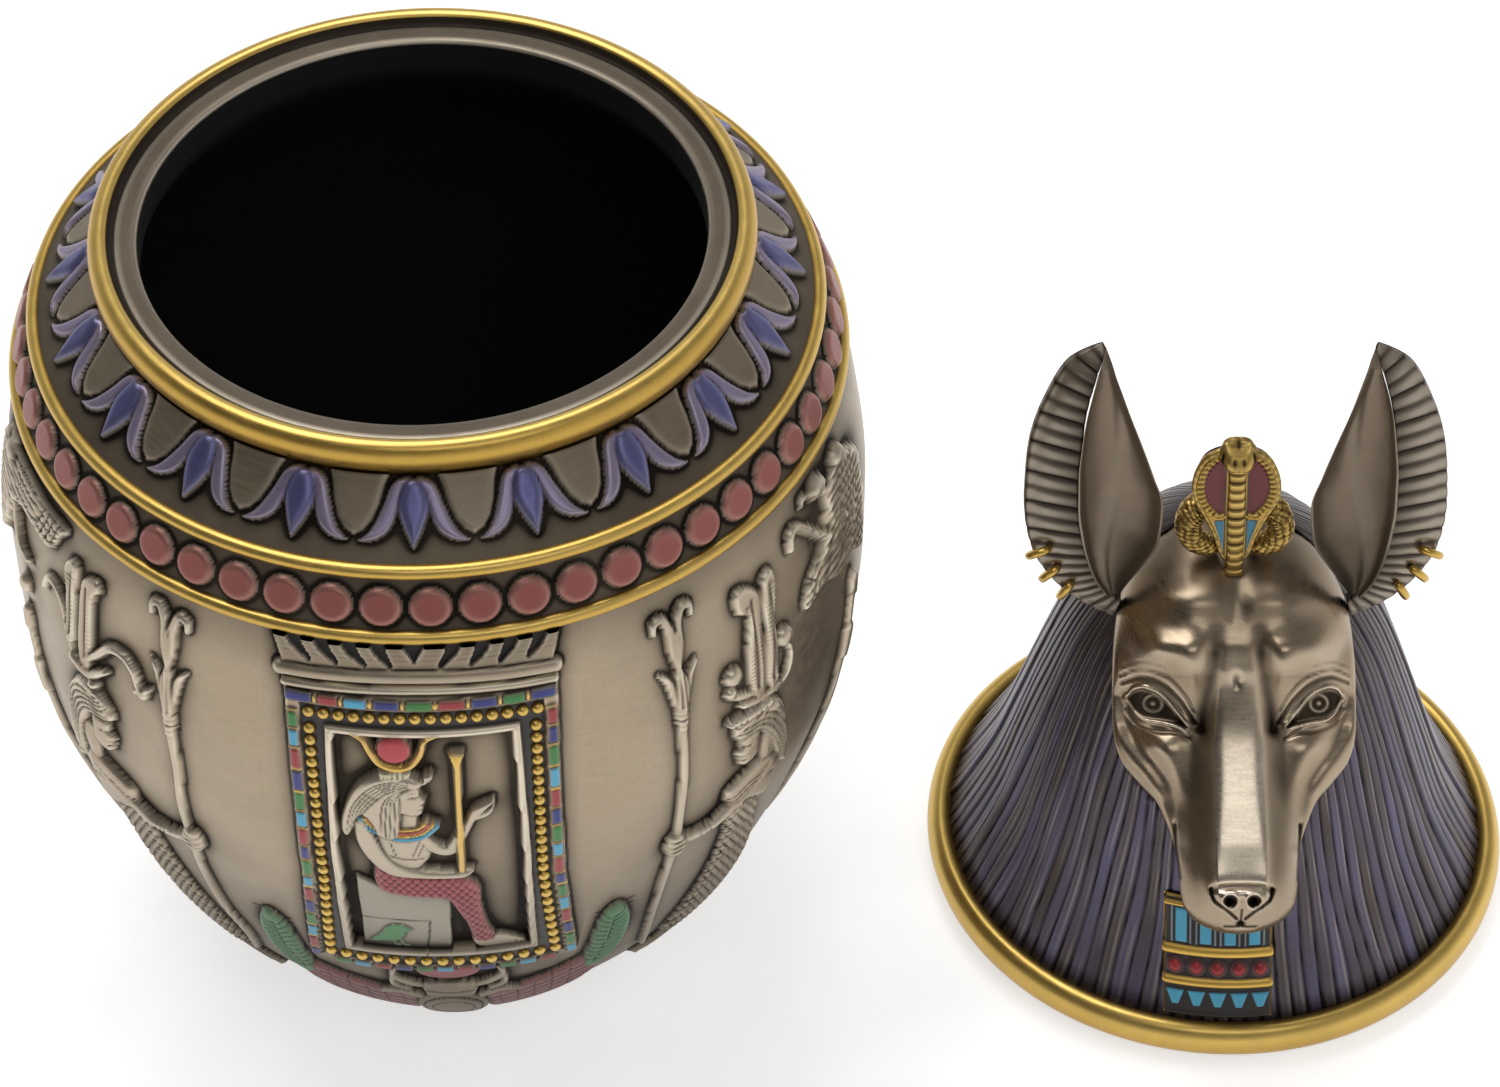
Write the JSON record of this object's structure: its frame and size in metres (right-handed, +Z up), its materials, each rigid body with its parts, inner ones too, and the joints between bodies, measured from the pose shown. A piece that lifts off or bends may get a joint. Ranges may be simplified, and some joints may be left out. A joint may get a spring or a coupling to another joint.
{
  "type": "canopic jar",
  "caption": "Hollow round-bellied canopic jar copy with relief shrine panels and a lotus shoulder; its jackal-headed lid stands beside it.",
  "frame": {"origin": "centre of the jar's flat underside, on the surface it stands on", "axes": "+Z up, -Y toward the shrine panel, +X toward the lid that stands beside the jar"},
  "size_m": [0.2519, 0.1406, 0.1535],
  "materials": {
    "jar": "cold-cast bronze resin, brushed satin with dark recesses and painted gold, blue, red and green ornament",
    "lid": "cold-cast bronze resin, polished face, blue-violet pleats and gold foot ring"
  },
  "bodies": {
    "root": {"jar": "jar", "lid": "lid"}
  },
  "joints": []
}
